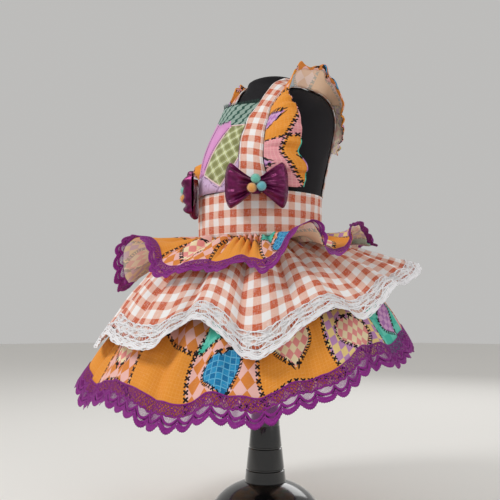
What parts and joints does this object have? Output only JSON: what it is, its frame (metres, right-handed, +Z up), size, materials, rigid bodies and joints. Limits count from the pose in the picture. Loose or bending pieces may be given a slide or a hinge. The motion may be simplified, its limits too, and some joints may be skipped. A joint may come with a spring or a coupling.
{
  "type": "child's dress on a dress form stand",
  "caption": "Sleeveless child's party dress with ruffled straps, bows and a tiered lace-edged skirt, on a limbless dress form with a round stand.",
  "frame": {"origin": "centre of the stand's round underside", "axes": "+Z up, the dress's front faces -Y, the wearer's left is +X"},
  "size_m": [0.446, 0.4469, 0.5962],
  "materials": {
    "black_lacquer": "glossy black",
    "black_stockinette": "matte black knit cover",
    "gingham": "rust and white gingham cotton",
    "ivory_button": "ivory, semi-gloss",
    "lilac_print": "lilac cotton with a fine dark line print",
    "green_print": "grey-green cotton with dark zigzag lines",
    "pink_cotton": "plain pink cotton",
    "green_plaid": "olive plaid cotton",
    "patchwork_print": null,
    "plum_satin": "plum satin ribbon",
    "mint_felt": "fuzzy mint pompom",
    "orange_felt": "fuzzy orange pompom",
    "teal_felt": "fuzzy sky-teal pompom",
    "purple_lace": "purple scalloped raschel lace",
    "white_lace": "white raschel lace"
  },
  "bodies": {
    "root": {"form_base": "black_lacquer", "form_pole": "black_lacquer", "form_torso": "black_stockinette", "waist_band": "gingham", "button_low": "ivory_button", "button_high": "ivory_button", "bib": "lilac_print", "patch_neck": "green_print", "patch_front": "pink_cotton", "patch_plaid": "green_plaid", "patch_low_left": "lilac_print", "patch_low_right": "lilac_print", "strap_left": "gingham", "strap_right": "gingham", "ruffle_left": "patchwork_print", "ruffle_right": "patchwork_print", "bow_left": "plum_satin", "bow_right": "plum_satin", "pompom_left_mint": "mint_felt", "pompom_left_orange": "orange_felt", "pompom_left_teal": "teal_felt", "pompom_right_mint": "mint_felt", "pompom_right_orange": "orange_felt", "pompom_right_teal": "teal_felt", "tier_peplum": "patchwork_print", "tier_middle": "gingham", "tier_bottom": "patchwork_print", "lace_peplum": "purple_lace", "lace_middle": "white_lace", "lace_bottom": "purple_lace"}
  },
  "joints": []
}
